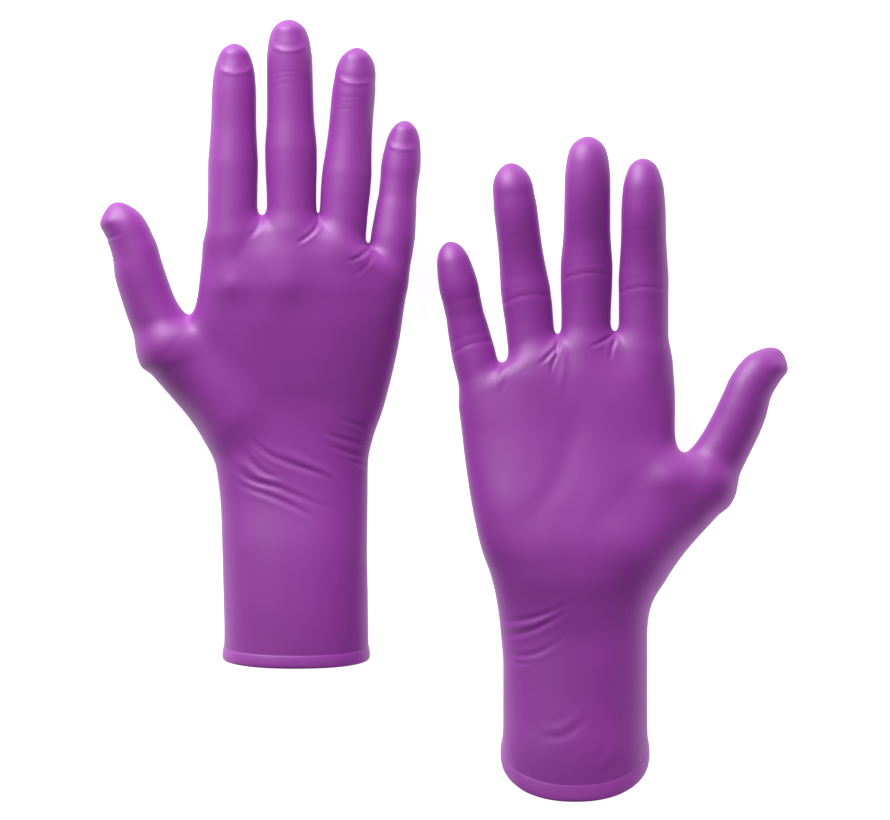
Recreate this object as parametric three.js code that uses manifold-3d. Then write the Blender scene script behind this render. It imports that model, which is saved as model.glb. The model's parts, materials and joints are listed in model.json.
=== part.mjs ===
// A pair of long-cuff nitrile gloves that keep the shape of the hands that wore them.
// They lie side by side on a table, one palm down and one palm up, fingers towards +Y.
// Millimetres, +Z up. The table is z = 0 and the origin is the middle of the pair.
//
// Each glove is a hollow skin, open at the cuff. It is divided where it bends: a sleeve for
// each length of finger, the hand, the cuff with its rolled bead, and a fold of soft film
// around the hinges with the widest swing.
import * as THREE from 'three';
import { mergeVertices } from 'three/addons/utils/BufferGeometryUtils.js';
import { LoftGeometry } from 'three/addons/geometries/LoftGeometry.js';
import Module from 'manifold-3d';

const wasm = await Module();
wasm.setup();

// ---------------------------------------------------------------- driving dimensions

const WALL = 1.2; // the real film is 0.12 mm, so the skin is drawn ten times too thick
const GAP = 0.3; // free space between two neighbouring pieces
const NECK = 0.9; // half of a fold's length at its hinge
const SPARE = THREE.MathUtils.degToRad(2); // extra opening of a fold beyond its hinge's swing

const BEAD_LENGTH = 4; // of the rolled hem, along the cuff
const BEAD_STANDS_OUT = 1;
const TABLE_SAG = 1.5; // how far the round skin is pressed flat by the table

const CAP_LENGTH = 9; // of the rounded end of a digit
const CAP_ANGLES = [90, 60, 30]; // rings of that rounded end, in degrees from its pole
const FLATNESS = 0.88; // thickness of a digit over its width
const DIGIT_SIDES = 10;
const HAND_SIDES = 20;
const HAND_SQUARENESS = 2.6; // 2 is an ellipse, more is squarer

const SIDE_ROOM = 0.6; // from a digit's side to the side of the block that cuts it
const WEB_DEPTH = 20; // how far the web's solid reaches into the hand
const BAY_STEPS = 4; // straight steps along the web's rounded edge
const CORNER_EASE = 3; // how far each side of a corner a digit's direction is eased
const PAST_LIP = 20; // how far the hand and cuff are drawn past the lip before the mouth is cut
const CUT_REACH = 50; // from a hinge to the top and bottom of the blocks that cut there
const FAR = 400; // size of a block that cuts off everything beyond a plane
const SAME_POINT = 1e-4; // corners closer than this are one corner

// A digit's hinges, as distances back from its tip, and its half width on the way back.
const DIGITS = {
  index: {
    hinges: { tip: 25, middle: 51, base: 77 },
    halfWidths: [[CAP_LENGTH, 8.6], [25, 9.4], [38, 9.8], [51, 10.6], [77, 10.9], [94, 10.9]],
  },
  middle: {
    hinges: { tip: 27, middle: 58, base: 84.5 },
    halfWidths: [[CAP_LENGTH, 9.3], [27, 9.9], [42, 10.3], [58, 11.3], [84.5, 10.8], [104, 10.8]],
  },
  ring: {
    hinges: { tip: 26, middle: 54, base: 81 },
    halfWidths: [[CAP_LENGTH, 8.6], [26, 9.2], [40, 9.7], [54, 10.5], [81, 10.4], [98, 10.6]],
  },
  little: {
    hinges: { tip: 20, middle: 38, base: 56 },
    halfWidths: [[CAP_LENGTH, 7.2], [20, 7.9], [38, 8.5], [56, 9.6], [72, 10]],
  },
  thumb: {
    hinges: { tip: 30, base: 54 },
    halfWidths: [[CAP_LENGTH, 9.2], [20, 10.1], [30, 11], [54, 11.8], [65, 13.5], [112, 16.5]],
  },
};

// How far each hinge swings, in degrees: closing towards the palm, and opening away from it.
const SWING = {
  base: { closing: 70, opening: 15 },
  middle: { closing: 75, opening: 0 },
  tip: { closing: 45, opening: 0 },
  thumb_base: { closing: 18, opening: 10 },
  thumb_tip: { closing: 42, opening: 0 },
  wrist: { closing: 45, opening: 0 },
};

// Each glove is drawn with its thumb on the -X side, from the lip of its cuff at y = 0.
// A digit has its tip, its lean from +Y towards +X in degrees, and its height at the hand.
// The web is the skin between thumb and hand: a bay between two points, low to high.
// The outline has, at each y, its thumb side, its little finger side and its thickness.
const GLOVES = {
  palm_down: {
    place: [-65, -109],
    palmUp: false,
    mouthTilt: 11.5,
    wrist: 76,
    digits: {
      index: { tip: [-26, 268.5, 7.5], lean: 0.7, baseHeight: 14 },
      middle: { tip: [-3, 279, 8], lean: -0.7, baseHeight: 14 },
      ring: { tip: [27, 266.7, 7.5], lean: 4.5, baseHeight: 13.5 },
      little: { tip: [47.5, 235, 6.5], lean: 6.2, baseHeight: 12.5 },
      thumb: { tip: [-78.3, 199.5, 9], lean: -19.6, baseHeight: 13.5, knuckleHeight: 15 },
    },
    thumbRoot: [-24, 103, 19],
    web: { thumb: [-60, 133], bay: [-47, 150], palm: [-39, 164], heights: [4, 25] },
    outline: [
      [0, -31.6, 31.6, 46], [12, -31.2, 31.2, 45.5], [48, -31.8, 30.9, 43], [70, -32.6, 31.3, 38.5],
      [86, -35.5, 31.6, 35.5], [97, -38.5, 33.5, 34], [109, -41, 37.5, 33.5], [122, -43.5, 41, 33],
      [138, -44.5, 44.5, 33], [157, -42.3, 47.5, 32], [170, -40.3, 49.5, 30], [177, -39.4, 50.2, 28.5],
      [181, -38.8, 34, 27.5], [186, -38.3, 30, 26], [190, -37.8, 22, 24], [193, -37.5, 8, 22],
    ],
  },
  palm_up: {
    place: [56.5, -169.5],
    palmUp: true,
    mouthTilt: 38.5,
    wrist: 76,
    digits: {
      index: { tip: [-29.6, 279, 15], lean: 0, baseHeight: 12.5 },
      middle: { tip: [-6, 288.5, 15.5], lean: -0.6, baseHeight: 12.5 },
      ring: { tip: [27.4, 277, 15], lean: 5.9, baseHeight: 12 },
      little: { tip: [53.5, 243, 13.5], lean: 11.8, baseHeight: 11.5 },
      thumb: { tip: [-86.8, 197, 13], lean: -26.8, baseHeight: 17.5, knuckleHeight: 19 },
    },
    thumbRoot: [-23, 104.5, 22],
    web: { thumb: [-62, 134], bay: [-48, 153], palm: [-38, 168], heights: [6, 28] },
    outline: [
      [0, -32, 32, 47], [20, -32.2, 32, 46.5], [34, -31.2, 31, 45], [58, -31.2, 31, 42],
      [72, -31.2, 32, 39], [84, -32.5, 33.3, 38.5], [97, -36, 36, 40], [109, -39, 40.2, 40],
      [124, -41, 43.6, 38.5], [145, -42.6, 47, 35.5], [163, -43.3, 49, 32.5], [178, -42.6, 50, 30],
      [186, -41.7, 51.5, 28], [191.5, -41.4, 34, 27], [197, -41.1, 29, 25.3], [200.5, -40.8, 21, 24.3],
      [202.5, -40.5, 6, 23],
    ],
  },
};

const FILM = { color: 0x9a52a8, roughness: 0.42, metalness: 0 };
const BEAD_COLOR = 0xa860b6;
const FOLD_COLOR = 0x8a4698;

// ---------------------------------------------------------------- solids and cuts

const UP = new THREE.Vector3(0, 0, 1);

// A closed manifold solid from a three.js geometry.
function solid(geometry) {
  const bare = new THREE.BufferGeometry().copy(geometry);
  bare.deleteAttribute('normal');
  bare.deleteAttribute('uv');
  const merged = mergeVertices(bare, SAME_POINT);
  const vertProperties = new Float32Array(merged.getAttribute('position').array);
  const triVerts = new Uint32Array(merged.getIndex().array);
  return new wasm.Manifold(new wasm.Mesh({ numProp: 3, vertProperties, triVerts }));
}

// A three.js geometry from a manifold solid.
function geometryOf(manifold) {
  const mesh = manifold.getMesh();
  const geometry = new THREE.BufferGeometry();
  geometry.setAttribute('position', new THREE.BufferAttribute(mesh.vertProperties, 3));
  geometry.setIndex(new THREE.BufferAttribute(mesh.triVerts, 1));
  geometry.computeVertexNormals();
  return geometry;
}

// A ring of points around a centre, square to the direction along, pressed flat at the floor.
function ring(centre, along, halfWidth, halfHeight, sides, squareness, floor) {
  const side = new THREE.Vector3().crossVectors(UP, along).normalize();
  const rise = new THREE.Vector3().crossVectors(along, side).normalize();
  const bulge = (value) => Math.sign(value) * Math.abs(value) ** (2 / squareness);
  const points = [];
  for (let i = 0; i < sides; i += 1) {
    const angle = (2 * Math.PI * (i + 0.5)) / sides;
    const point = centre.clone();
    point.addScaledVector(side, bulge(Math.cos(angle)) * halfWidth);
    point.addScaledVector(rise, bulge(Math.sin(angle)) * halfHeight);
    point.z = Math.max(point.z, floor);
    points.push(point);
  }
  return points;
}

function loft(rings) {
  return solid(new LoftGeometry(rings, { capStart: true, capEnd: true }));
}

// A box seen along three square directions: from low to high, each given in those directions.
function block(origin, along, side, low, high) {
  const size = high.map((value, i) => value - low[i]);
  const box = new THREE.BoxGeometry(...size);
  box.translate(...low.map((value, i) => value + size[i] / 2));
  const rise = new THREE.Vector3().crossVectors(along, side);
  box.applyMatrix4(new THREE.Matrix4().makeBasis(along, side, rise));
  box.translate(...origin.toArray());
  return solid(box);
}

// ---------------------------------------------------------------- one digit

// A digit's way back from its tip: straight to its base, and for the thumb on to its root.
function digitPath(glove, name) {
  const { tip, lean, baseHeight, knuckleHeight } = glove.digits[name];
  const { halfWidths, hinges } = DIGITS[name];
  const angle = THREE.MathUtils.degToRad(lean);
  const start = new THREE.Vector3(...tip);
  const at = (distance, height) => new THREE.Vector3(
    start.x - distance * Math.sin(angle),
    start.y - distance * Math.cos(angle),
    height,
  );
  const slope = (baseHeight - start.z) / hinges.base;
  const corners = [{ distance: 0, point: start }];
  if (name === 'thumb') {
    const [[knuckle], [root]] = halfWidths.slice(-2);
    corners.push({ distance: hinges.base, point: at(hinges.base, baseHeight) });
    corners.push({ distance: knuckle, point: at(knuckle, knuckleHeight) });
    corners.push({ distance: root, point: new THREE.Vector3(...glove.thumbRoot) });
  } else {
    const [[deepest]] = halfWidths.slice(-1);
    corners.push({ distance: deepest, point: at(deepest, start.z + slope * deepest) });
  }
  return corners;
}

// The point at a distance back from the tip.
function pointAt(corners, distance) {
  const next = corners.findIndex((corner) => corner.distance >= distance - SAME_POINT);
  const b = corners[Math.max(next, 1)];
  const a = corners[Math.max(next, 1) - 1];
  const share = (distance - a.distance) / (b.distance - a.distance);
  return a.point.clone().lerp(b.point, share);
}

// The direction towards the tip at a distance back from it, eased over the corners.
function directionAt(corners, distance) {
  const last = corners[corners.length - 1].distance;
  const ahead = pointAt(corners, Math.max(distance - CORNER_EASE, 0));
  const behind = pointAt(corners, Math.min(distance + CORNER_EASE, last));
  return ahead.sub(behind).normalize();
}

// A digit as a solid. The inset makes it smaller all round, for its hollow.
function digitSolid(glove, name, inset) {
  const corners = digitPath(glove, name);
  const { halfWidths } = DIGITS[name];
  const rings = [];
  const addRing = (distance, halfWidth) => {
    const centre = pointAt(corners, distance);
    const along = directionAt(corners, distance);
    rings.push(ring(centre, along, halfWidth, halfWidth * FLATNESS, DIGIT_SIDES, 2, inset));
  };
  for (const [distance, halfWidth] of halfWidths.slice(1).reverse()) {
    addRing(distance, halfWidth - inset);
  }
  const [, capWidth] = halfWidths[0];
  for (const degrees of CAP_ANGLES) {
    const angle = THREE.MathUtils.degToRad(degrees);
    const distance = inset + (CAP_LENGTH - inset) * (1 - Math.cos(angle));
    addRing(distance, (capWidth - inset) * Math.sin(angle));
  }
  return loft(rings);
}

// ---------------------------------------------------------------- hand and cuff

// The hand and cuff as one solid. A positive inset makes its hollow, a negative one its bead.
function handSolid(glove, inset) {
  const floor = Math.max(inset, 0);
  const along = new THREE.Vector3(0, 1, 0);
  const rings = glove.outline.map(([y, thumbSide, littleSide, thickness], i, rows) => {
    const isFirst = i === 0;
    const isLast = i === rows.length - 1;
    const shift = (isFirst ? -PAST_LIP : 0) - (isLast ? Math.max(inset, 0) : 0);
    const halfWidth = (littleSide - thumbSide) / 2 - inset;
    const halfHeight = (thickness + TABLE_SAG) / 2 - inset;
    const centre = new THREE.Vector3((littleSide + thumbSide) / 2, y + shift, (thickness - TABLE_SAG) / 2);
    return ring(centre, along, halfWidth, halfHeight, HAND_SIDES, HAND_SQUARENESS, floor);
  });
  return loft(rings);
}

// The skin between the thumb and the hand, with a rounded bay for its edge.
function webSolid(glove, inset) {
  const { thumb, bay, palm, heights: [low, high] } = glove.web;
  const [rootX, rootY] = glove.thumbRoot;
  const outline = new THREE.Shape();
  outline.moveTo(rootX, rootY);
  outline.lineTo(palm[0] + WEB_DEPTH, rootY);
  outline.lineTo(palm[0] + WEB_DEPTH, palm[1] - inset);
  outline.lineTo(palm[0], palm[1] - inset);
  outline.quadraticCurveTo(bay[0], bay[1] - inset, thumb[0], thumb[1]);
  outline.closePath();
  const depth = high - low - 2 * inset;
  const slab = new THREE.ExtrudeGeometry(outline, { depth, bevelEnabled: false, curveSegments: BAY_STEPS });
  slab.translate(0, 0, low + inset);
  return solid(slab);
}

// A block that keeps what lies further up the glove than its slanted mouth and an offset.
function beyondMouth(glove, offset) {
  const tilt = THREE.MathUtils.degToRad(glove.mouthTilt);
  const lip = new THREE.Vector3(0, 0, glove.outline[0][3]);
  const along = new THREE.Vector3(0, Math.cos(tilt), Math.sin(tilt));
  const side = new THREE.Vector3(-1, 0, 0);
  return block(lip, along, side, [offset, -FAR, -FAR], [FAR, FAR, FAR]);
}

// ---------------------------------------------------------------- hinges and folds

// A hinge: its centre, the direction u out to the piece that swings, and its axis.
// A positive turn closes the hinge, towards v = axis x u.
function digitHinge(glove, name, joint) {
  const corners = digitPath(glove, name);
  const distance = DIGITS[name].hinges[joint];
  const centre = pointAt(corners, distance);
  const u = directionAt(corners, distance).setZ(0).normalize();
  const palmar = glove.palmUp ? UP.clone() : UP.clone().negate();
  const v = name === 'thumb' ? new THREE.Vector3(u.y, -u.x, 0) : palmar;
  const swing = SWING[name === 'thumb' ? `thumb_${joint}` : joint];
  const [[, halfWidth]] = DIGITS[name].halfWidths.filter(([place]) => place >= distance);
  const reach = halfWidth + SIDE_ROOM;
  return { centre, u, v, swing, reach, depth: name === 'thumb' ? reach : CUT_REACH };
}

function wristHinge(glove) {
  const [, , , thickness] = glove.outline.find(([y]) => y >= glove.wrist);
  const centre = new THREE.Vector3(0, glove.wrist, thickness / 2);
  const u = new THREE.Vector3(0, -1, 0);
  return { centre, u, v: UP.clone(), swing: SWING.wrist, reach: CUT_REACH, depth: CUT_REACH };
}

// The space that a hinge needs to swing: a bow tie, narrow at the hinge and wide where it closes.
function foldSpace({ centre, u, v, swing, reach, depth }, extra) {
  const half = (degrees) => NECK + extra + depth * Math.tan(THREE.MathUtils.degToRad(degrees) / 2 + SPARE);
  const closing = half(swing.closing);
  const opening = half(swing.opening);
  const bowTie = new THREE.Shape();
  bowTie.moveTo(-NECK - extra, 0);
  bowTie.lineTo(-opening, -depth);
  bowTie.lineTo(opening, -depth);
  bowTie.lineTo(NECK + extra, 0);
  bowTie.lineTo(closing, depth);
  bowTie.lineTo(-closing, depth);
  bowTie.closePath();
  const width = 2 * (reach + extra);
  const prism = new THREE.ExtrudeGeometry(bowTie, { depth: width, bevelEnabled: false });
  prism.translate(0, 0, -width / 2);
  prism.applyMatrix4(new THREE.Matrix4().makeBasis(u, v, new THREE.Vector3().crossVectors(u, v)));
  prism.translate(...centre.toArray());
  return solid(prism);
}

// The block of space beyond a hinge, as wide as its reach.
function beyondHinge({ centre, u, reach }, extra) {
  const side = new THREE.Vector3().crossVectors(UP, u);
  const half = reach + extra;
  return block(centre, u, side, [-extra, -half, -CUT_REACH], [FAR, half, CUT_REACH]);
}

// ---------------------------------------------------------------- one glove

const scene = new THREE.Group();

function addMesh(group, name, manifold, color) {
  const mesh = new THREE.Mesh(geometryOf(manifold), new THREE.MeshStandardMaterial({ ...FILM, color }));
  mesh.name = name;
  group.add(mesh);
}

// The sleeves of one digit and the folds between them. What is left of the skin is given back.
function addDigit(group, prefix, glove, name, skin) {
  const own = digitSolid(glove, name, 0).subtract(digitSolid(glove, name, WALL));
  const joints = Object.keys(DIGITS[name].hinges).reverse();
  const hinges = joints.map((joint) => digitHinge(glove, name, joint));
  joints.forEach((joint, i) => {
    const hinge = hinges[i];
    let sleeve = own.intersect(beyondHinge(hinge, 0)).subtract(foldSpace(hinge, GAP));
    if (i + 1 < hinges.length) {
      sleeve = sleeve.subtract(beyondHinge(hinges[i + 1], 0)).subtract(foldSpace(hinges[i + 1], GAP));
    }
    addMesh(group, `${prefix}_${name}_${joint}`, sleeve, FILM.color);
  });
  addMesh(group, `${prefix}_${name}_base_fold`, skin.intersect(foldSpace(hinges[0], 0)), FOLD_COLOR);
  addMesh(group, `${prefix}_${name}_joint_fold`, own.intersect(foldSpace(hinges[1], 0)), FOLD_COLOR);
  return skin.subtract(beyondHinge(hinges[0], GAP)).subtract(foldSpace(hinges[0], GAP));
}

function addGlove(prefix, glove) {
  const group = new THREE.Group();
  const names = Object.keys(DIGITS);
  let outside = handSolid(glove, 0).add(webSolid(glove, 0));
  let inside = handSolid(glove, WALL).add(webSolid(glove, WALL));
  for (const name of names) {
    outside = outside.add(digitSolid(glove, name, 0));
    inside = inside.add(digitSolid(glove, name, WALL));
  }
  const skin = outside.subtract(inside);

  const wrist = wristHinge(glove);
  const cuffSide = beyondHinge(wrist, 0);
  let hand = skin.subtract(cuffSide).subtract(foldSpace(wrist, GAP));
  for (const name of names) {
    hand = addDigit(group, prefix, glove, name, hand);
  }
  addMesh(group, `${prefix}_hand`, hand, FILM.color);
  addMesh(group, `${prefix}_wrist_fold`, skin.intersect(foldSpace(wrist, 0)), FOLD_COLOR);

  const cuff = skin.intersect(cuffSide).subtract(foldSpace(wrist, GAP));
  addMesh(group, `${prefix}_cuff`, cuff.intersect(beyondMouth(glove, BEAD_LENGTH + GAP)), FILM.color);

  const bead = handSolid(glove, -BEAD_STANDS_OUT).subtract(handSolid(glove, WALL));
  const beadRing = bead.intersect(beyondMouth(glove, 0)).subtract(beyondMouth(glove, BEAD_LENGTH));
  addMesh(group, `${prefix}_cuff_bead`, beadRing, BEAD_COLOR);

  // A palm-up glove is the same hand seen from its other side, so its thumb is on the +X side.
  if (glove.palmUp) {
    for (const mesh of group.children) {
      mesh.geometry.scale(-1, 1, 1);
      const index = mesh.geometry.getIndex().array;
      for (let i = 0; i < index.length; i += 3) {
        [index[i], index[i + 1]] = [index[i + 1], index[i]];
      }
      mesh.geometry.computeVertexNormals();
    }
  }
  group.position.set(...glove.place, 0);
  scene.add(group);
}

for (const [prefix, glove] of Object.entries(GLOVES)) {
  addGlove(prefix, glove);
}

export default scene;
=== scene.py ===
import json
import math

import bmesh
import bpy
import numpy as np
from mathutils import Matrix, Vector


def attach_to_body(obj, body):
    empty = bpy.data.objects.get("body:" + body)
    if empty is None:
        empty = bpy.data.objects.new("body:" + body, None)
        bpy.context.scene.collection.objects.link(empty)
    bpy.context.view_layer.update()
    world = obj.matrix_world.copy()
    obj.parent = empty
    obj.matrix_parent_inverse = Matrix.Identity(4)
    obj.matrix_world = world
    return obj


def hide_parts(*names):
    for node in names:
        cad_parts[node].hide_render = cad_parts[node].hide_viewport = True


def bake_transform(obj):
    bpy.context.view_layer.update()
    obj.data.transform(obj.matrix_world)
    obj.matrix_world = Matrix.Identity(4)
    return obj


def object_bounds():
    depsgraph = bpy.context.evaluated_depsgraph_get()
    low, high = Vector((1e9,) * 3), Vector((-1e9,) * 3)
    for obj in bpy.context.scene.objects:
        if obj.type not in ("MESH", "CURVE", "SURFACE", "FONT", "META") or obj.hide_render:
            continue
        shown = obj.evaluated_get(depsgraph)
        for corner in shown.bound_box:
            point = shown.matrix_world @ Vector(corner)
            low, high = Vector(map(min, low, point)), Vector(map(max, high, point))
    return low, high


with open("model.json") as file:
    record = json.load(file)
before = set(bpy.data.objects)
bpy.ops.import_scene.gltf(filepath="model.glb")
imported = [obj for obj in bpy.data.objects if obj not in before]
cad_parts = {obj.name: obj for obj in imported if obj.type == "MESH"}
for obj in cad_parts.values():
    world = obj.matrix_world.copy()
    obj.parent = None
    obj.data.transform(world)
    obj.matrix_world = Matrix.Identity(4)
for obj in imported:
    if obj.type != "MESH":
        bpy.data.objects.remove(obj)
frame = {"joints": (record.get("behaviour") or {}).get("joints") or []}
CAD_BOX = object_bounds()

# A pair of worn nitrile gloves with long cuffs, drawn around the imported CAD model.
#
# Each glove is one smooth surface: its digits, hand and cuff are blended into a single field,
# which is turned into a mesh, moved onto the exact surface, and cut into a piece for each
# part that moves. All of it is drawn in millimetres in the glove's own frame: thumb towards
# -X, fingers towards +Y, the lip of the cuff near y = 0 and the table at z = 0. A distance
# along a digit is always measured from its tip.

# ---------------------------------------------------------------- sizes, in millimetres

GRID = 1.0  # of the mesh
GRID_LOW = (-98, -34, -4)
GRID_HIGH = (68, 294, 54)
FILM = 0.6  # thickness of the skin
WRIST = 76  # from the lip to the wrist's hinge

FINGERS = ("index", "middle", "ring", "little")
DIGITS = FINGERS + ("thumb",)

# Half width of each digit, by distance.
HALF_WIDTHS = {
    "index": [(0, 0), (3, 5.6), (7.5, 7.65), (12, 8.8), (16, 9.25), (21, 9.6), (36, 9.9),
              (46, 10.5), (53, 10.9), (64, 10.8), (82, 10.8), (93, 9), (104, 4.5)],
    "middle": [(0, 0), (4.3, 7.2), (8.7, 8.8), (13, 9.5), (17.5, 9.9), (30, 10.05),
               (43.5, 10.3), (52, 11), (57, 11.3), (65, 11.2), (76, 10.8), (90, 10.7), (101, 9),
               (112, 4.5)],
    "ring": [(0, 0), (1.3, 3.7), (5.6, 7.4), (10, 8.7), (14.5, 9.05), (20, 9.45), (32, 9.5),
             (40, 9.7), (49, 10.3), (56, 10.8), (62, 10.8), (70, 10.5), (86, 10.4), (95, 8.8),
             (104, 4.5)],
    "little": [(0, 0), (3, 4.9), (7, 6.8), (11.5, 7.7), (16, 8.3), (21, 8.6), (26, 8.35),
               (32, 8.3), (38, 8.8), (44, 9.2), (51, 9.6), (62, 9.5), (73, 7.8), (84, 4)],
    "thumb": [(0, 0), (3.2, 5.7), (8, 8.6), (13, 9.5), (18, 9.8), (24, 10.3), (31, 10.8),
              (45, 11.1), (58, 11.6), (68, 12.4), (80, 12.6)],
}

# Where each digit ends inside the hand, and where the hinge nearest its tip is.
ROOTS = {"index": 104, "middle": 112, "ring": 104, "little": 84, "thumb": 72}
TIP_HINGES = {"index": 25, "middle": 27, "ring": 26, "little": 20, "thumb": 30}
FLATNESS = 0.9  # thickness of a digit over its width
DIGIT_REACH = 14  # no piece of a digit is further from its axis than this, sideways

# How far each side of its hinge a digit bends, and how long the bend at its base is.
MIDDLE_BEND = {"index": 10, "middle": 10, "ring": 10, "little": 7}
TIP_BEND = {"index": 7, "middle": 7, "ring": 7, "little": 5.5, "thumb": 9}
BASE_BEND = {"index": 12, "middle": 14, "ring": 13, "little": 8.5, "thumb": 14}
CUFF_BEND = (98, 60)  # from the hand to the cuff, by y

# Where the mesh is cut into pieces.
PAST_WEB = 0.8  # from a web to the cut beyond it
CUT_NEAR = 4  # only faces this close to a cut are tried
SKIN_STARTS = 0.6  # from the lip to the edge of the skin, inside the bead

# Each nail: where it ends, and half its width. How deep the wrinkles behind it are. Where the
# crease under the middle knuckle is.
NAILS = {"index": (13.2, 7.8), "middle": (14, 8.2), "ring": (16, 8), "little": (12.8, 6.8)}
WRINKLES = {"index": 0.02, "middle": 0.06, "ring": 0.05, "little": 0.02}
MIDDLE_CREASES = {"index": 56, "middle": 59.5, "ring": 58, "little": 45.5}

# How softly the shapes run into each other.
TABLE_ROUNDING = 5
WEB_SHARPNESS = 2.2
FINGER_JOIN = 7
KNUCKLE_JOIN = 5
HAND_END_ROUNDING = 7
END_SLANT = 0.97  # distance to the hand's slanting end, over the step in y
ROOT_ROUNDING = 4
THUMB_RADII = (11.5, 15.6)  # at the knuckle and at the root

# Joining the hand to each finger in turn swells it, from the fingers down to the palm.
HAND_SWELLS = 1.05
HAND_SWELLS_PAST = (186, 156)
SUNK = 1.5  # how far the hand's rounded underside reaches below the table, where it is cut flat
RELIEF_SPAN = (-30, 200)  # y over which the folds follow the height of the hand

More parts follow.
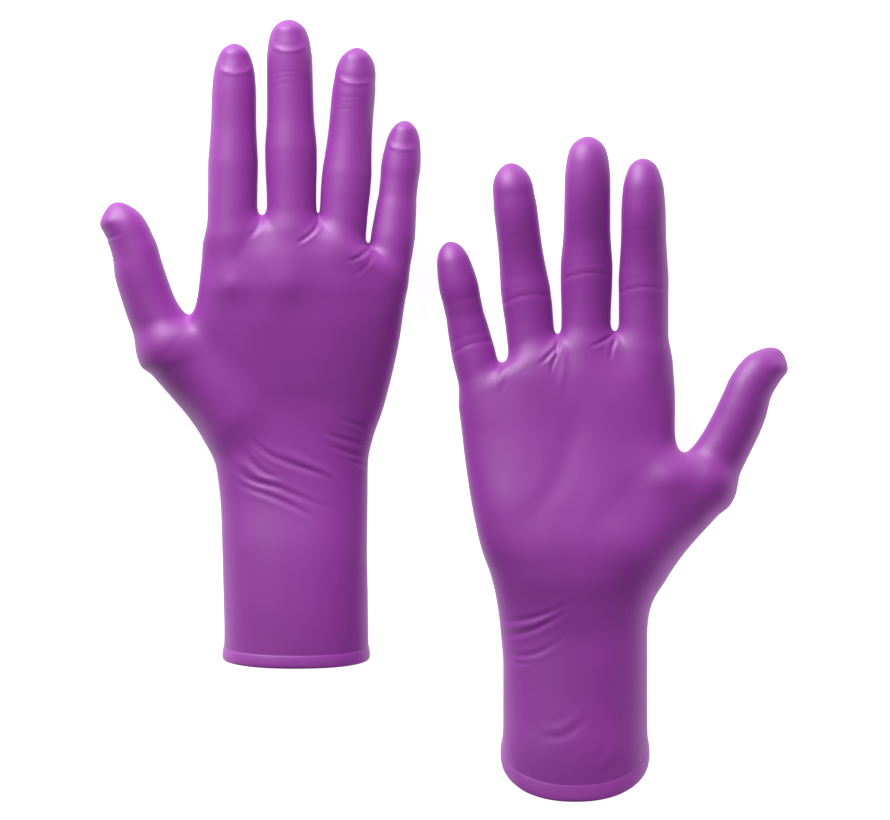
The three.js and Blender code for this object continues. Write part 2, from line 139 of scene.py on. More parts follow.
# Lip: y and height of the lip's upper side. Tilt and turn: of the mouth's plane, in degrees.
# Rows of the hand and cuff: y, thumb side, little finger side, height, squareness.
# Webs: the deepest point between two digits.
# Heights: by share of the way to a digit's root, how far its axis is above the tip's.
# Sways: by distance, how far a digit's axis curves to the side.
# Folds: how far it stands out, its width, and the points it runs through.
# Swellings: how far it stands out, its widths along x and y, and its place.
GLOVES = {
    "palm_down": {
        "mirror": 1,
        "palm_up": False,
        "lip": (-3, 43),
        "mouth_tilt": 11.5,
        "mouth_turn": 0,
        "rows": [
            (-30, -31.2, 31.8, 43, 2.2), (0, -31.2, 31.8, 43, 2.2), (12, -30.9, 31.6, 42.3, 2.2),
            (30, -31.3, 31.4, 40.5, 2.2), (48, -31.8, 31.1, 38, 2.2), (70, -32.7, 31.3, 33.2, 2.25),
            (86, -34.7, 31.5, 30.9, 2.3), (97, -36.2, 33.7, 29.9, 2.4), (109, -38.3, 37.9, 29.7, 2.5),
            (122, -40.4, 41.4, 30.4, 2.5), (138, -42.4, 44.9, 31.5, 2.5), (150, -43.2, 46.7, 32.05, 2.5),
            (160, -42.3, 47.8, 32, 2.5), (168, -41.1, 49.1, 31.4, 2.4), (178, -39.6, 50.5, 29.8, 2.3),
            (200, -38.4, 51.4, 21.5, 2.2),
        ],
        "webs": [(-14.4, 192.8), (9.6, 190.4), (32.2, 178.8)],
        "thumb_web": (-46.5, 150.1),
        "thumb_join": 12,
        "thumb_knuckle": [-56.9, 135.2, 13],
        "thumb_root": [-27.5, 108, 9.5],
        "heights": {
            "finger": [(0, 0), (0.25, 2.6), (0.5, 6.2), (0.75, 10), (1, 13.5)],
            "thumb": [(0, 0), (0.2, 0.8), (0.5, 1.8), (1, 2.5)],
        },
        "sways": {
            "index": [(0, -0.55), (100, -0.55)],
            "middle": [(0, 0), (60, 0.3), (110, 0.3)],
            "ring": [(0, 0.1), (30, -0.3), (100, -0.4)],
            "little": [(0, 0.5), (60, 0.3), (80, 0)],
            "thumb": [(0, -0.9), (6, -0.5), (14, 0.4), (22, 0.6), (31, -0.5), (45, -0.9), (66, 0)],
        },
        "folds": [
            (-0.36, 1.2, [(-22, 99), (-12.5, 90.5), (-0.9, 85.2), (12, 81), (22, 75.5)]),
            (0.32, 1.3, [(-28, 89.5), (-19.7, 83), (-14.6, 79.8), (-3, 76.8)]),
            (-0.36, 1.2, [(-31, 87), (-23.3, 80.9), (-16.8, 77.6), (-8.1, 75.4), (-0.9, 72.5), (10, 68),
                          (21, 64)]),
            (-0.32, 1.2, [(-31, 81), (-20.4, 75.1), (-12.5, 72.2), (-3.9, 68.6), (4.8, 63.8), (12, 58)]),
            (-0.24, 1.1, [(-25, 94), (-18, 86), (-12, 81), (-4, 79)]),
            (0.24, 1.5, [(-9, 93.5), (2, 87.6), (13.5, 81.8), (24, 74)]),
            (-0.28, 1.0, [(8, 101), (20, 96.5), (33, 93.4), (40, 92.5)]),
            (-0.32, 1.0, [(10, 95), (23, 90.5), (32, 87.8), (40, 86.6)]),
            (-0.28, 1.0, [(15, 107), (27.9, 102.2), (34.5, 100), (41, 99)]),
            (-0.28, 0.9, [(22, 88), (30, 85), (38, 83.4)]),
            (-0.4, 0.9, [(11, 193), (8.5, 187.5), (4, 183.4), (-1, 181)]),
            (-0.3, 0.9, [(34, 182), (30.5, 177.5), (26, 174.5), (20, 173)]),
            (-0.14, 0.9, [(35, 179), (32, 173), (28, 169), (23, 167)]),
            (-0.25, 1.2, [(-14.4, 194), (-16.5, 188), (-21, 183)]),
        ],
        "swellings": [
            (1.7, 9, 9, -29.5, 164), (1.1, 9, 9, -3, 164.5), (0.4, 8, 8, 21.7, 162), (0.2, 7, 8, 41, 155),
            (0.18, 2.4, 2.4, -27.9, 163.5), (-0.15, 6, 7, -15, 180), (-0.2, 6, 7, 9.5, 178),
            (-0.2, 6, 7, 31, 168), (1.9, 11, 13, -49, 141),
        ],
    },
    "palm_up": {
        "mirror": -1,
        "palm_up": True,
        "lip": (-0.4, 46.5),
        "mouth_tilt": 38.5,
        "mouth_turn": 2,
        "rows": [
            (-30, -31.2, 31.2, 46, 2.2), (0, -31.6, 31.6, 46, 2.2), (20, -31.8, 31.8, 45.5, 2.2),
            (34, -31.4, 31.2, 43.8, 2.2), (58, -31.4, 31.2, 41.4, 2.2), (72, -31.4, 32.2, 40.4, 2.25),
            (84, -32.7, 33.6, 41, 2.3), (97, -35.2, 36.4, 42.2, 2.4), (109, -38.2, 40.6, 41.8, 2.5),
            (124, -41, 44, 39.1, 2.5), (145, -42.6, 47.4, 34.6, 2.5), (163, -43.3, 49.4, 30.8, 2.5),
            (178, -42.6, 50.4, 27.7, 2.4), (186, -41.7, 51.9, 25.8, 2.3), (205, -40, 52.4, 20, 2.2),
        ],
        "webs": [(-17.8, 202.4), (7.4, 200.6), (30.9, 189.8)],
        "thumb_web": (-49.6, 153.1),
        "thumb_join": 14,
        "thumb_knuckle": [-58.3, 136.2, 19],
        "thumb_root": [-27.5, 109, 21],
        "heights": {
            "finger": [(0, -1), (0.1, 0.7), (0.2, 0.9), (0.5, -3), (0.75, -2), (0.9, 0.6), (1, 2.6)],
            "little": [(0, -1), (0.1, 0.7), (0.2, 0.9), (0.5, -0.8), (0.7, 1.4), (0.85, 3.4), (1, 5)],
            "thumb": [(0, -5), (0.12, -1.8), (0.3, 0.6), (0.7, 1.5), (1, 3)],
        },
        "sways": {
            "index": [(0, -0.1), (40, -0.3), (100, -0.3)],
            "middle": [(0, 0.3), (110, 0.3)],
            "ring": [(0, 0.85), (40, 0.2), (70, -0.4), (100, -0.4)],
            "little": [(0, 1.35), (50, 0.8), (80, 0.2)],
            "thumb": [(0, -1.9), (5, -1), (10, 0.1), (19.5, 1.2), (29, 0.2), (39, -0.3), (66, 0.2)],
        },
        "folds": [
            (-0.4, 0.9, [(6.6, 202), (8.4, 196.5), (12.3, 192.3), (17.5, 187.5)]),
            (-0.35, 0.8, [(6.4, 202), (7.6, 195), (9.6, 189.5), (10.5, 184)]),
            (0.2, 1.4, [(6, 200), (4.6, 193), (5.6, 184), (7.5, 175)]),
            (-0.35, 0.9, [(28.5, 192.5), (31, 189.3), (35.5, 186)]),
            (0.2, 1.4, [(30, 191), (32, 184), (34.5, 176)]),
            (-0.35, 0.9, [(-19, 204), (-13.5, 200.2), (-9.1, 198), (-5, 197)]),
            (-0.3, 0.9, [(-18.5, 203), (-16, 196), (-15, 190)]),
            (-0.25, 4.0, [(-4, 178), (1.5, 158), (6.9, 140), (16.3, 125.6), (23, 116)]),
            (-0.25, 1.2, [(40, 79.5), (31, 78), (22.4, 78.5), (14, 80.5), (6, 84), (-4, 88)]),
            (-0.26, 1.2, [(40, 72.5), (30, 71.5), (20, 73.5), (13.1, 76.5), (6.2, 80.5), (-2, 86)]),
            (0.18, 1.3, [(38, 75.8), (26, 75.3), (16, 77.5), (6, 83)]),
            (-0.26, 1.2, [(40, 65.5), (31.5, 64), (24.5, 62.7), (16.7, 64), (9.8, 67.5), (0, 74.5)]),
            (-0.24, 1.1, [(38, 61), (30.6, 60.7), (24, 59.5), (16, 60.5)]),
            (0.15, 1.8, [(16, 31), (8, 31.3), (1, 35), (-6, 42)]),
            (-0.15, 1.6, [(18, 28), (8, 27.4), (0, 31), (-7, 38)]),
            (0.3, 2.0, [(35, 34), (28.6, 22), (23.5, 10), (18, 0)]),
            (0.2, 2.0, [(-8, 12), (-14, 18), (-19, 25)]),
        ],
        "swellings": [
            (1.2, 12, 16, 33, 128), (-1.0, 14, 22, 4, 150), (4, 13, 11, -42, 142), (0.25, 8, 7, -29, 184),
            (0.25, 8, 7, -5, 188), (0.25, 8, 7, 20, 183), (-1.3, 12, 12, 44, 182),
        ],
    },
}

# ---------------------------------------------------------------- fields


def smooth_min(a, b, k):
    share = np.maximum(k - np.abs(a - b), 0) / k
    return np.minimum(a, b) - share * share * k / 4


def smooth_max(a, b, k):
    return -smooth_min(-a, -b, k)


def smoothstep(low, high, value):
    t = np.clip((value - low) / (high - low), 0, 1)
    return t * t * (3 - 2 * t)


def bump(value):
    return np.exp(-(value**2))


def curve_through(points, values):
    """A smooth curve through the points, with no overshoot, as a function."""
    points, values = np.array(points, float), np.array(values, float)
    steps = np.diff(points)
    slopes = np.diff(values) / steps
    tangents = np.concatenate(([slopes[0]], (slopes[1:] + slopes[:-1]) / 2, [slopes[-1]]))
    turning = np.concatenate(([False], slopes[1:] * slopes[:-1] <= 0, [False]))
    tangents[turning] = 0
    slopes_after = np.append(slopes, slopes[-1])
    slopes_before = np.insert(slopes, 0, slopes[0])
    limit = 3 * np.minimum(np.abs(slopes_after), np.abs(slopes_before))
    tangents = np.clip(tangents, -limit, limit)
    fine = np.linspace(points[0], points[-1], 800)
    i = np.clip(np.searchsorted(points, fine, "right") - 1, 0, len(steps) - 1)
    t = (fine - points[i]) / steps[i]
    curve = (
        (2 * t**3 - 3 * t**2 + 1) * values[i]
        + (t**3 - 2 * t**2 + t) * steps[i] * tangents[i]
        + (3 * t**2 - 2 * t**3) * values[i + 1]
        + (t**3 - t**2) * steps[i] * tangents[i + 1]
    )
    start_slope = (curve[1] - curve[0]) / (fine[1] - fine[0])

    def at(where):
        return np.interp(where, fine, curve) + start_slope * np.minimum(where - fine[0], 0)

    return at


class Digit:
    """A finger or thumb: a straight tube of changing width with a rounded tip."""

    def __init__(self, name, tip, base, glove):
        self.name = name
        self.tip = tip
        back = base - tip
        plan = math.hypot(back[0], back[1])
        self.back = np.array([back[0], back[1]]) / plan
        self.side = np.array([-self.back[1], self.back[0]])
        self.sway_sign = math.copysign(1, self.side[0])
        shares, rises = zip(*glove["heights"].get(name, glove["heights"]["finger"]))
        self.rise = curve_through([share * ROOTS[name] for share in shares], rises)
        distances, half_widths = zip(*HALF_WIDTHS[name])
        self.square = curve_through(distances, [width**2 for width in half_widths])
        self.sway = curve_through(*zip(*glove["sways"][name]))
        self.root = ROOTS[name]

    def place(self, x, y):
        """How far back from the tip a point is, and how far to the side."""
        dx, dy = x - self.tip[0], y - self.tip[1]
        distance = dx * self.back[0] + dy * self.back[1]
        return distance, dx * self.side[0] + dy * self.side[1]

    def at(self, distance):
        """The point of the digit's axis at a distance back from its tip."""
        plan = self.tip[:2] + self.back * distance
        return np.array([plan[0], plan[1], self.height(distance)])

    def height(self, distance):
        return self.tip[2] + self.rise(np.clip(distance, 0, self.root))

    def field(self, x, y, z):
        """About how far a point is outside the digit."""
        distance, across = self.place(x, y)
        across = across - self.sway(np.clip(distance, 0, self.root)) * self.sway_sign
        height = z - self.height(distance)
        square = self.square(distance)
        step = GRID / 2
        slope = (self.square(distance + step) - self.square(distance - step)) / (4 * step)
        flat = (height / FLATNESS) ** 2
        value = across**2 + flat - square
        steepness = np.sqrt(across**2 + flat / FLATNESS**2 + slope**2)
        surface = np.sqrt(np.maximum(square + slope**2, 0))
        tube = value / (steepness + surface + 0.1)
        return smooth_max(tube, distance - self.root, ROOT_ROUNDING)


def cone_field(x, y, z, a, b, radius_a, radius_b):
    """A rounded cone between two balls."""
    a, b = np.array(a, float), np.array(b, float)
    along = b - a
    length = np.linalg.norm(along)
    px, py, pz = x - a[0], y - a[1], z - a[2]
    share = np.clip((px * along[0] + py * along[1] + pz * along[2]) / length**2, 0, 1)
    across = (px - share * along[0], py - share * along[1], pz - share * along[2])
    gap = np.sqrt(across[0] ** 2 + across[1] ** 2 + across[2] ** 2)
    return gap - (radius_a + share * (radius_b - radius_a))


class Glove:
    """One glove: its digits, its rows and its place in the row's frame."""

    def __init__(self, prefix, spec):
        self.prefix = prefix
        self.spec = spec
        wrist = joint_place(f"{prefix}_wrist")
        self.origin = np.array([wrist[0], wrist[1] - WRIST, 0])
        self.mirror = spec["mirror"]
        ys = [row[0] for row in spec["rows"]]
        self.rows = [curve_through(ys, [row[i] for row in spec["rows"]]) for i in (1, 2, 3, 4)]
        self.digits = {}
        for name in DIGITS:
            base = self.local(joint_place(f"{prefix}_{name}_base"))
            tip_hinge = self.local(joint_place(f"{prefix}_{name}_tip"))
            plan = np.linalg.norm((tip_hinge - base)[:2])
            tip = tip_hinge + (tip_hinge - base) * TIP_HINGES[name] / plan
            self.digits[name] = Digit(name, tip, base, spec)
        self.hand_end = self.end_curve()

    def local(self, point):
        x, y, z = point - self.origin
        return np.array([x * self.mirror, y, z])

    def world(self, points):
        """Glove millimetres to metres in the row's frame."""
        return (points * np.array([self.mirror, 1, 1]) + self.origin) / 1000

    def end_curve(self):
        """Where the hand ends, as y by x: a line near its webs, falling away past the outer two."""
        webs = self.spec["webs"]
        (x0, y0), (x1, y1) = webs[0], webs[-1]
        xs = [x0 - 28] + [x for x, _ in webs] + [x1 + 20]
        ys = [y0 - 8] + [y - 1.5 for _, y in webs] + [y1 - 14]
        return curve_through(xs, ys)

    def hand_field(self, x, y, z):
        """About how far a point is outside the cuff and hand, which have rounded-box rows."""
        where = np.clip(y, self.spec["rows"][0][0], self.spec["rows"][-1][0])
        thumb_side, little_side, height, power = (curve(where) for curve in self.rows)
        half_width = (little_side - thumb_side) / 2
        half_height = (height + SUNK) / 2
        u = np.abs(x - (little_side + thumb_side) / 2) / half_width + 1e-4
        v = np.abs(z - (height - SUNK) / 2) / half_height + 1e-4
        size = (u**power + v**power) ** (1 / power)
        steep = size ** (1 - power) * np.sqrt(
            u ** (2 * power - 2) / half_width**2 + v ** (2 * power - 2) / half_height**2
        )
        tube = (size - 1) / steep
        end = (y - self.hand_end(np.clip(x, -60, 70))) * END_SLANT
        return smooth_max(tube, end, HAND_END_ROUNDING)

    def shape(self, x, y, z):
        """The glove's smooth shape, without its folds and creases."""
        hand = self.hand_field(x, y, z)
        joined = [smooth_min(self.digits[name].field(x, y, z), hand, FINGER_JOIN) for name in FINGERS]
        whole = joined[0]
        for finger in joined[1:]:
            whole = smooth_min(whole, finger, WEB_SHARPNESS)
        whole = whole + HAND_SWELLS * smoothstep(*HAND_SWELLS_PAST, y)
        thumb = self.digits["thumb"].field(x, y, z)
        knuckle, root = self.spec["thumb_knuckle"], self.spec["thumb_root"]
        thumb = smooth_min(thumb, cone_field(x, y, z, knuckle, root, *THUMB_RADII), KNUCKLE_JOIN)
        whole = smooth_min(whole, thumb, self.spec["thumb_join"])
        return smooth_max(whole, -z, TABLE_ROUNDING)

    def surface(self, x, y, z):
        """The glove's whole surface, folds and creases included."""
        return self.shape(x, y, z) - self.relief(x, y, z)

    def relief(self, x, y, z):
        """How far folds, creases and nails stand out of the smooth shape."""
        height = self.rows[2](np.clip(y, *RELIEF_SPAN))
        upper = smoothstep(0.45, 0.8, z / height)
        total = np.zeros_like(x)
        for stands_out, width, points in self.spec["folds"]:
            total += upper * fold(x, y, points, stands_out, width)
        for stands_out, width_x, width_y, spot_x, spot_y in self.spec["swellings"]:
            total += upper * stands_out * bump((x - spot_x) / width_x) * bump((y - spot_y) / width_y)
        for name in FINGERS:
            total += self.finger_relief(self.digits[name], x, y, z)
        return total + self.thumb_relief(x, y, z)

    def finger_relief(self, digit, x, y, z):
        """A nail and wrinkles on the back of a finger, and creases on its palm side."""
        distance, across = digit.place(x, y)
        beside = smoothstep(12.5, 9, np.abs(across)) * smoothstep(digit.root, digit.root - 20, distance)
        height = (z - digit.height(distance)) * (-1 if self.spec["palm_up"] else 1)
        back = smoothstep(-0.5, 3.5, height) * beside
        palm = smoothstep(-0.5, 3.5, -height) * beside
        return back * nail(digit.name, distance, across) + palm * finger_creases(digit, distance, across)

    def thumb_relief(self, x, y, z):
        """The thumb's nail is seen from its side, at the outer edge."""
        digit = self.digits["thumb"]
        distance, across = digit.place(x, y)
        outer = smoothstep(0, 7, -across * digit.sway_sign) * smoothstep(40, 30, distance)
        tip = 1.1 * bump((distance - 6.5) / 3.5)
        hollow = -0.2 * bump((distance - 21) / 5)
        rim = (0 if self.spec["palm_up"] else -0.35) * bump((distance - 14) / 0.9)
        return outer * (tip + hollow + rim)

    def mouth(self):
        """A point of the slanted mouth's plane and its direction into the glove."""
        tilt, turn = math.radians(self.spec["mouth_tilt"]), math.radians(self.spec["mouth_turn"])
        level = math.cos(tilt)
        inward = np.array([level * math.sin(turn), level * math.cos(turn), math.sin(tilt)])
        return np.array([0, *self.spec["lip"]]), inward


def joint_place(name):
    joint = next(joint for joint in frame["joints"] if joint["name"] == name)
    return np.array(joint["pos_m"], float) * 1000


def fold(x, y, points, stands_out, width):
    """A long fold or groove along a smooth line, faded out at its ends."""
    result = np.zeros_like(x)
    corners = np.array(points, float)
    low, high = corners.min(0) - 4 * width, corners.max(0) + 4 * width
    near = np.flatnonzero((x > low[0]) & (x < high[0]) & (y > low[1]) & (y < high[1]))
    x, y = x[near], y[near]
    places = np.arange(len(corners))
    steps = np.linspace(0, places[-1], 4 * places[-1] + 1)
    line = np.stack([curve_through(places, corners[:, i])(steps) for i in (0, 1)], 1)
    nearest, along = np.full_like(x, np.inf), np.zeros_like(x)
    for i in range(len(line) - 1):
        step = line[i + 1] - line[i]
        share = ((x - line[i, 0]) * step[0] + (y - line[i, 1]) * step[1]) / (step @ step)
        share = np.clip(share, 0, 1)
        gap = np.hypot(x - line[i, 0] - share * step[0], y - line[i, 1] - share * step[1])
        along = np.where(gap < nearest, (i + share) / (len(line) - 1), along)
        nearest = np.minimum(nearest, gap)
    fade = smoothstep(0, 0.35, along) * smoothstep(1, 0.6, along)
    middle = bump(nearest / width)
    sides = bump((nearest - 2 * width) / width)
    result[near] = stands_out * fade * (middle - 0.3 * sides)
    return result


def nail(name, distance, across):
    """A nail under the film: a flat bed with a narrow ridge of film behind it."""
    ridge_at, half_width = NAILS[name]
    curve = distance - ridge_at + 0.035 * across**2
    bed = smoothstep(2, 6, distance) * smoothstep(0, -3, curve)
    bed = bed * smoothstep(half_width, half_width - 2.5, np.abs(across))
    ridge = bump(curve / 0.9) * smoothstep(half_width, half_width - 3, np.abs(across))
    front = bump((distance - 4) / 2.6) * smoothstep(half_width, half_width - 4, np.abs(across))
    behind = distance - TIP_HINGES[name] + 2 - 0.03 * across**2
    wrinkles = sum(bump((behind - spot) / 0.6) for spot in (-2.4, 0, 2.6))
    return 0.5 * front + 0.22 * ridge - 0.35 * bed - WRINKLES[name] * wrinkles


def finger_creases(digit, distance, across):
    """The palm side of a finger: a double crease at its middle joint, a faint one near its tip."""
    middle = MIDDLE_CREASES[digit.name]
    total = 0
    for spot, depth in ((middle, 0.18), (middle - 4.2, 0.06), (TIP_HINGES[digit.name] + 6, 0.06)):
        curve = distance - spot - 0.02 * across**2 - 0.06 * across
        total = total - depth * (bump(curve / 0.8) - 0.3 * bump((curve - 2.4) / 1.5))
    return total


# ---------------------------------------------------------------- from field to mesh


def surface_net(values):
    """The surface where values change sign: vertices, in cells, and quads."""
    inside = values < 0
    corners = [(i, j, k) for i in (0, 1) for j in (0, 1) for k in (0, 1)]
    shape = np.array(values.shape) - 1
    filled = sum(
        inside[i : i + shape[0], j : j + shape[1], k : k + shape[2]].astype(np.int8) for i, j, k in corners
    )
    cells = np.argwhere((filled > 0) & (filled < 8))
    total, count = np.zeros((len(cells), 3)), np.zeros(len(cells))
    for axis in range(3):
        for corner in corners:
            if corner[axis]:
                continue
            near = cells + corner
            far = near.copy()
            far[:, axis] += 1
            a, b = values[tuple(near.T)], values[tuple(far.T)]
            crosses = (a < 0) != (b < 0)
            share = np.where(crosses, a / np.where(crosses, a - b, 1), 0)
            spot = np.array(corner, float) + np.outer(share, np.eye(3)[axis])
            total += spot * crosses[:, None]
            count += crosses
    vertices = cells + total / count[:, None]

    number = np.full(shape, -1)
    number[tuple(cells.T)] = np.arange(len(cells))
    quads = []
    for axis in range(3):
        lower = np.take(inside, range(values.shape[axis] - 1), axis)
        upper = np.take(inside, range(1, values.shape[axis]), axis)
        edges = np.argwhere(lower != upper)
        next_axis, last_axis = (axis + 1) % 3, (axis + 2) % 3
        around = []
        for step_next, step_last in ((-1, -1), (0, -1), (0, 0), (-1, 0)):
            cell = edges.copy()
            cell[:, next_axis] += step_next
            cell[:, last_axis] += step_last
            around.append(number[tuple(cell.T)])
        quad = np.stack(around, 1)
        outward = lower[tuple(edges.T)]
        quad[~outward] = quad[~outward][:, ::-1]
        quads.append(quad[(quad >= 0).all(1)])
    return vertices, np.concatenate(quads)


def gradient(field, points, step=0.15):
    """How steeply a field rises at each point, along x, y and z."""
    parts = []
    for axis in range(3):
        offset = np.zeros(3)
        offset[axis] = step
        parts.append((field(*(points + offset).T) - field(*(points - offset).T)) / (2 * step))
    return np.stack(parts, 1)


def onto_surface(field, points, rounds=3, reach=0.7):
    """Each point moved, in steps of no more than its reach, to where the field is zero."""
    for _ in range(rounds):
        slope = gradient(field, points)
        size = np.maximum((slope**2).sum(1), 0.05)
        move = slope * (field(*points.T) / size)[:, None]
        length = np.linalg.norm(move, axis=1, keepdims=True)
        points = points - move * np.minimum(1, reach / np.maximum(length, 1e-9))
    return points


def relaxed(points, quads):
    """Each point moved towards the middle of its neighbours."""
    edges = np.concatenate([quads[:, [i, (i + 1) % 4]] for i in range(4)])
    number = len(points)
    count = np.bincount(edges[:, 0], minlength=number)
    middle = np.stack([np.bincount(edges[:, 0], points[edges[:, 1], i], number) for i in range(3)], 1)
    return (points + middle / np.maximum(count, 1)[:, None]) / 2


def glove_mesh(glove):
    """The glove's closed surface in quads, even and exactly on the field."""
    axes = [np.arange(low, high, GRID, dtype=np.float32) for low, high in zip(GRID_LOW, GRID_HIGH)]
    grid = np.meshgrid(*axes, indexing="ij")
    values = glove.shape(*grid)
    vertices, quads = surface_net(values)
    points = np.array(GRID_LOW) + vertices * GRID
    points = onto_surface(glove.surface, points)
    for _ in range(2):
        points = relaxed(points, quads)
        points = onto_surface(glove.surface, points, 2)
    return points, quads


# ---------------------------------------------------------------- cutting into pieces


def cut(mesh, faces, place, direction, clear=False):
    """Splits faces along a plane, and removes what is in front of it if told to."""
    parts = set(faces)
    for face in faces:
        parts.update(face.edges)
        parts.update(face.verts)
    bmesh.ops.bisect_plane(
        mesh, geom=list(parts), dist=1e-4, plane_co=place, plane_no=direction, clear_outer=clear
    )


def digit_cuts(glove, name):
    """Where a digit is cut, as distances from its tip, from its base to its tip."""
    digit = glove.digits[name]
    if name == "thumb":
        base = digit.place(*glove.spec["thumb_web"])[0] - PAST_WEB
        return [base, base - BASE_BEND[name] - 0.5]
    webs = glove.spec["webs"]
    number = FINGERS.index(name)
    own = webs[max(number - 1, 0) : number + 1]
    base = min(digit.place(*web)[0] for web in own) - PAST_WEB
    middle_hinge, tip_hinge = hinge_distance(glove, name, "middle"), TIP_HINGES[name]
    after_base = (base - BASE_BEND[name] + middle_hinge + MIDDLE_BEND[name]) / 2
    after_middle = (middle_hinge - MIDDLE_BEND[name] + tip_hinge + TIP_BEND[name]) / 2
    return [base, after_base, after_middle]


def hinge_distance(glove, name, joint):
    """How far a hinge is from its digit's tip."""
    place = glove.local(joint_place(f"{glove.prefix}_{name}_{joint}"))
    return glove.digits[name].place(place[0], place[1])[0]


def cut_glove(glove, points, quads):
    """The glove with its mouth open and an edge along every line between pieces."""
    mesh = bmesh.new()
    verts = [mesh.verts.new(point) for point in points]
    for quad in quads:
        mesh.faces.new([verts[i] for i in quad])
    place, direction = glove.mouth()
    cut(mesh, list(mesh.faces), place + direction * SKIN_STARTS, -direction, clear=True)
    near = [face for face in mesh.faces if abs(face.calc_center_median().y - CUFF_BEND[0]) < CUT_NEAR]
    cut(mesh, near, (0, CUFF_BEND[0], 0), (0, 1, 0))
    for name in DIGITS:
        digit = glove.digits[name]
        for distance in digit_cuts(glove, name):
            middle = digit.at(distance)
            near = []
            for face in mesh.faces:
                centre = face.calc_center_median()
                back, across = digit.place(centre.x, centre.y)
                if abs(back - distance) < CUT_NEAR and abs(across) < DIGIT_REACH:
                    near.append(face)
            cut(mesh, near, middle, (digit.back[0], digit.back[1], 0))
    mesh.verts.ensure_lookup_table()
    mesh.verts.index_update()
    points = np.array([vert.co for vert in mesh.verts])
    faces = [[vert.index for vert in face.verts] for face in mesh.faces]
    mesh.free()
    return points, faces


def piece_of_faces(glove, centres):
    """A name for each face: the piece that it belongs to."""
    names = np.full(len(centres), "hand", dtype=object)
    names[centres[:, 1] < CUFF_BEND[0]] = "cuff"
    nearest = np.argmin([glove.digits[name].field(*centres.T) for name in DIGITS], 0)
    for number, name in enumerate(DIGITS):
        distance, across = glove.digits[name].place(centres[:, 0], centres[:, 1])
        own = (nearest == number) & (np.abs(across) < DIGIT_REACH)
        sections = ("base", "tip") if name == "thumb" else ("base", "middle", "tip")
        for section, start in zip(sections, digit_cuts(glove, name)):
            names[own & (distance < start)] = f"{name}_{section}"
    return names


# ---------------------------------------------------------------- pieces

collection = bpy.context.scene.collection


def add_object(name, points, faces, normals, material):
    """A smooth object. Its normals are its own unless they are given for each point."""
    mesh = bpy.data.meshes.new(name)
    mesh.from_pydata(points.tolist(), [], faces)
    mesh.polygons.foreach_set("use_smooth", [True] * len(mesh.polygons))
    mesh.materials.append(material)
    mesh.update()
    if normals is not None:
        mesh.normals_split_custom_set_from_vertices(normals.tolist())
    made = bpy.data.objects.new(name, mesh)
    collection.objects.link(made)
    return made


def skin_piece(glove, name, points, normals, faces, material):
    """A piece of skin with its inner side and the narrow faces around its edges."""
    used = sorted({i for face in faces for i in face})
    new = {old: i for i, old in enumerate(used)}
    outer = [[new[i] for i in face] for face in faces]
    count = len(used)
    inner = [[i + count for i in reversed(face)] for face in outer]
    sides = {}
    for face in outer:
        for a, b in zip(face, face[1:] + face[:1]):
            if (b, a) in sides:
                del sides[(b, a)]
            else:
                sides[(a, b)] = True
    rim = [[b, a, a + count, b + count] for a, b in sides]
    skin = points[used]
    outward = normals[used]
    places = glove.world(np.concatenate([skin, skin - outward * FILM]))
    flipped = outward * np.array([glove.mirror, 1, 1])
    directions = np.concatenate([flipped, -flipped])
    all_faces = outer + inner + rim
    if glove.mirror < 0:
        all_faces = [face[::-1] for face in all_faces]
    return add_object(name, places, all_faces, directions, material)


def make_glove(prefix, spec, film, bead_material_painted_highlight):
    """One glove: its pieces of skin and its bead; the hand's piece and the bead are fixed to their bodies.
    """
    glove = Glove(prefix, spec)
    points, quads = glove_mesh(glove)
    points, faces = cut_glove(glove, points, quads)
    normals = gradient(glove.surface, points)
    normals /= np.maximum(np.linalg.norm(normals, axis=1, keepdims=True), 1e-9)
    centres = np.array([points[face].mean(0) for face in faces])
    names = piece_of_faces(glove, centres)
    for name in sorted(set(names)):
        own = [faces[i] for i in np.flatnonzero(names == name)]
        piece = skin_piece(glove, f"{prefix}_{name}_skin", points, normals, own, film)
        attach(glove, name, piece)
    bead = cuff_bead(glove, bead_material_painted_highlight)
    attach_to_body(bead, f"{prefix}_cuff")
    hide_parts(f"{prefix}_cuff_bead")


def attach(glove, name, piece):
    """Fixes the hand's piece to its body; any other piece is left where it is, not fixed to a body. Either
    way the CAD parts that the piece stands for are hidden.
    """
    prefix = glove.prefix
    if name == "hand":
        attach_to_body(piece, f"{prefix}_hand")
        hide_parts(f"{prefix}_hand")
        return
    if name == "cuff":
        start, end = (glove.world(np.array([0, y, 0])) for y in CUFF_BEND)
        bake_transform(piece)
        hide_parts(f"{prefix}_cuff", f"{prefix}_wrist_fold")
        return
    finger, section = name.split("_")
    digit = glove.digits[finger]
    if section == "base":
        start = digit_cuts(glove, finger)[0]
        span = (start, start - BASE_BEND[finger])
        nodes = (f"{prefix}_{finger}_base", f"{prefix}_{finger}_base_fold")
    elif section == "middle":
        hinge, reach = hinge_distance(glove, finger, "middle"), MIDDLE_BEND[finger]
        span = (hinge + reach, hinge - reach)
        nodes = (f"{prefix}_{finger}_middle", f"{prefix}_{finger}_joint_fold")
    else:
        hinge, reach = TIP_HINGES[finger], TIP_BEND[finger]
        span = (hinge + reach, hinge - reach)
        nodes = (f"{prefix}_{finger}_tip",)
        if finger == "thumb":
            nodes += (f"{prefix}_thumb_joint_fold",)
    start, end = (glove.world(digit.at(distance) * np.array([1, 1, 0])) for distance in span)
    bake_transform(piece)
    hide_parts(*nodes)


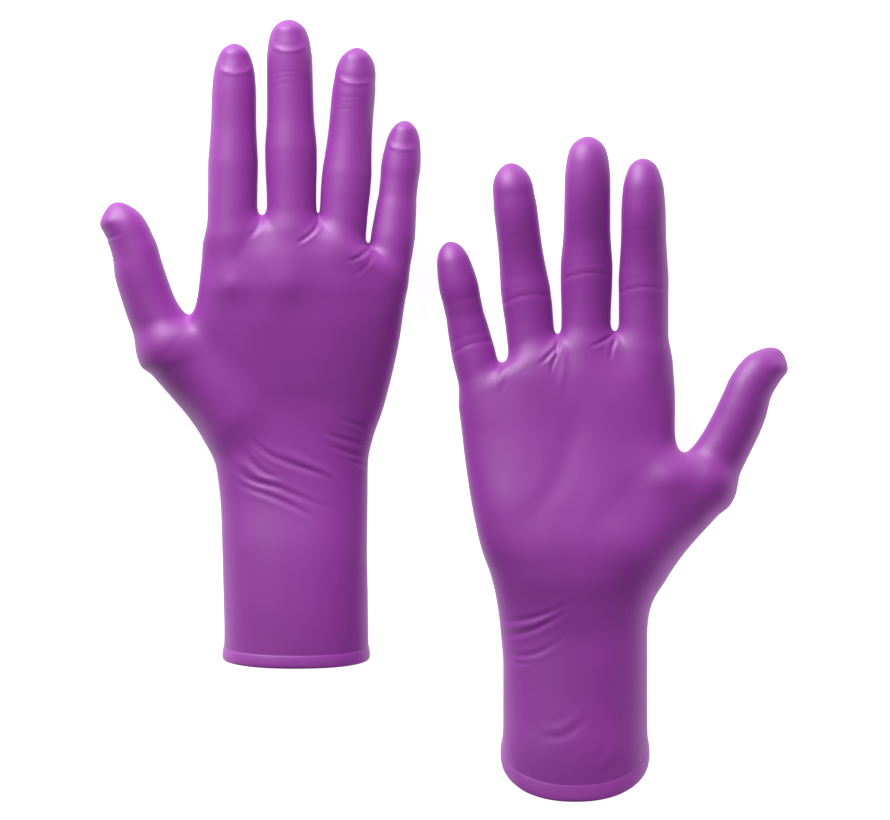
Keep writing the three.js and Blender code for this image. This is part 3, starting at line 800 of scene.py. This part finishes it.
# Profile of the rolled hem: how far along the cuff from its lip, and how far out.
BEAD_PROFILE = [
    (0.2, -0.7), (-0.2, -0.3), (-0.25, 0.15), (0.05, 0.45), (0.7, 0.6), (1.8, 0.6), (3.2, 0.45),
    (4.4, 0.25), (5.2, 0.05), (5.6, -0.3), (4.8, -0.6), (3.4, -0.85), (1.6, -0.9),
]
BEAD_SIDES = 260
MOUTH_MIDDLE = 23  # below the upper side of the lip


def cuff_bead(glove, material):
    """The rolled hem, lofted around the slanted mouth: each ray finds the skin by halving."""
    place, direction = glove.mouth()
    up = np.array([0, -direction[2], direction[1]])
    angles = np.linspace(0, 2 * math.pi, BEAD_SIDES, endpoint=False)
    rays = np.outer(np.cos(angles), [1, 0, 0]) + np.outer(np.sin(angles), up)
    rings = []
    for along, out in BEAD_PROFILE:
        centre = place + direction * along - up * MOUTH_MIDDLE / direction[1]
        low, high = np.full(BEAD_SIDES, 5.0), np.full(BEAD_SIDES, 60.0)
        for _ in range(24):
            middle = (low + high) / 2
            inside = glove.surface(*(centre + rays * middle[:, None]).T) < 0
            low, high = np.where(inside, middle, low), np.where(inside, high, middle)
        rings.append(centre + rays * (low + out)[:, None])
    points = np.concatenate(rings)
    faces = []
    for j in range(len(rings)):
        following = (j + 1) % len(rings)
        for i in range(BEAD_SIDES):
            beside = (i + 1) % BEAD_SIDES
            quad = (j * BEAD_SIDES + i, following * BEAD_SIDES + i)
            faces.append([*quad, following * BEAD_SIDES + beside, j * BEAD_SIDES + beside])
    if glove.mirror < 0:
        faces = [face[::-1] for face in faces]
    return add_object(f"{glove.prefix}_cuff_bead_roll", glove.world(points), faces, None, material)


# ---------------------------------------------------------------- materials


def node_material(name):
    material = bpy.data.materials.new(name)
    material.use_nodes = True
    return material, material.node_tree.nodes, material.node_tree.links


def nitrile(name, light, dark):
    """Thin satin film: two close purples in soft clouds, and a faint grain."""
    material, nodes, links = node_material(name)
    shader = nodes["Principled BSDF"]
    place = nodes.new("ShaderNodeTexCoord")
    clouds = nodes.new("ShaderNodeTexNoise")
    clouds.inputs["Scale"].default_value = 28
    clouds.inputs["Detail"].default_value = 3
    links.new(place.outputs["Object"], clouds.inputs["Vector"])
    ramp = nodes.new("ShaderNodeValToRGB")
    ramp.color_ramp.elements[0].position = 0.3
    ramp.color_ramp.elements[0].color = (*dark, 1)
    ramp.color_ramp.elements[1].position = 0.7
    ramp.color_ramp.elements[1].color = (*light, 1)
    links.new(clouds.outputs["Fac"], ramp.inputs["Fac"])
    links.new(ramp.outputs["Color"], shader.inputs["Base Color"])
    grain = nodes.new("ShaderNodeTexNoise")
    grain.inputs["Scale"].default_value = 900
    grain.inputs["Detail"].default_value = 2
    links.new(place.outputs["Object"], grain.inputs["Vector"])
    rough = nodes.new("ShaderNodeMapRange")
    rough.inputs["To Min"].default_value = 0.5
    rough.inputs["To Max"].default_value = 0.6
    links.new(grain.outputs["Fac"], rough.inputs["Value"])
    links.new(rough.outputs["Result"], shader.inputs["Roughness"])
    bump = nodes.new("ShaderNodeBump")
    bump.inputs["Strength"].default_value = 0.12
    bump.inputs["Distance"].default_value = 0.0002
    links.new(grain.outputs["Fac"], bump.inputs["Height"])
    links.new(bump.outputs["Normal"], shader.inputs["Normal"])
    shader.inputs["IOR"].default_value = 1.7
    shader.inputs["Specular IOR Level"].default_value = 0.5
    shader.inputs["Sheen Weight"].default_value = 0.2
    shader.inputs["Sheen Roughness"].default_value = 0.3
    shader.inputs["Sheen Tint"].default_value = (0.95, 0.7, 1.0, 1)
    return material


def pale_floor():
    material, nodes, links = node_material("floor")
    shader = nodes["Principled BSDF"]
    shader.inputs["Base Color"].default_value = (0.6, 0.6, 0.6, 1)
    shader.inputs["Roughness"].default_value = 0.9
    shader.inputs["Emission Color"].default_value = (1, 1, 1, 1)
    shader.inputs["Emission Strength"].default_value = 0.92
    return material


# ---------------------------------------------------------------- studio


FLOOR_HALF = 4
FLOOR_GAP = 0.0005


def add_floor():
    mesh = bpy.data.meshes.new("floor")
    corners = [(x * FLOOR_HALF, y * FLOOR_HALF, 0) for x, y in ((-1, -1), (1, -1), (1, 1), (-1, 1))]
    mesh.from_pydata(corners, [], [(0, 1, 2, 3)])
    mesh.materials.append(pale_floor())
    floor = bpy.data.objects.new("floor", mesh)
    floor.location.z = CAD_BOX[0].z - FLOOR_GAP
    collection.objects.link(floor)


def add_light(name, place, size, power, glossy=True):
    data = bpy.data.lights.new(name, "AREA")
    data.size = size
    data.energy = power
    light = bpy.data.objects.new(name, data)
    light.location = place
    light.rotation_euler = (-Vector(place)).to_track_quat("-Z", "Y").to_euler()
    light.visible_glossy = glossy
    collection.objects.link(light)


def add_studio():
    scene = bpy.context.scene
    world = bpy.data.worlds.new("studio")
    world.use_nodes = True
    world.node_tree.nodes["Background"].inputs["Color"].default_value = (1, 1, 1, 1)
    world.node_tree.nodes["Background"].inputs["Strength"].default_value = 0.1
    scene.world = world
    scene.view_settings.view_transform = "Standard"
    add_light("key", (-0.55, 1.15, 0.58), 0.6, 25)
    add_light("fill", (1.1, -0.3, 1.0), 1.0, 7, glossy=False)


VIEW_WIDTH = 0.38715  # metres across the picture
VIEW_HEIGHT = 0.013  # of the plane that it measures
LENS = 900  # long and far away, because the picture shows no perspective


def add_camera():
    data = bpy.data.cameras.new("camera")
    data.lens = LENS
    camera = bpy.data.objects.new("camera", data)
    camera.location = (0, 0, VIEW_WIDTH * LENS / data.sensor_width + VIEW_HEIGHT)
    data.clip_end = 20
    collection.objects.link(camera)
    bpy.context.scene.camera = camera


# ---------------------------------------------------------------- the scene

film = nitrile("nitrile_film", (0.32, 0.036, 0.38), (0.285, 0.029, 0.34))
# The bead's two purples are lighter than the film's: a painted highlight along the rolled hem.
bead = nitrile("nitrile_bead_painted_highlight", (0.38, 0.052, 0.44), (0.34, 0.044, 0.4))
for glove_name, glove_spec in GLOVES.items():
    make_glove(glove_name, glove_spec, film, bead)
add_floor()
add_studio()
add_camera()
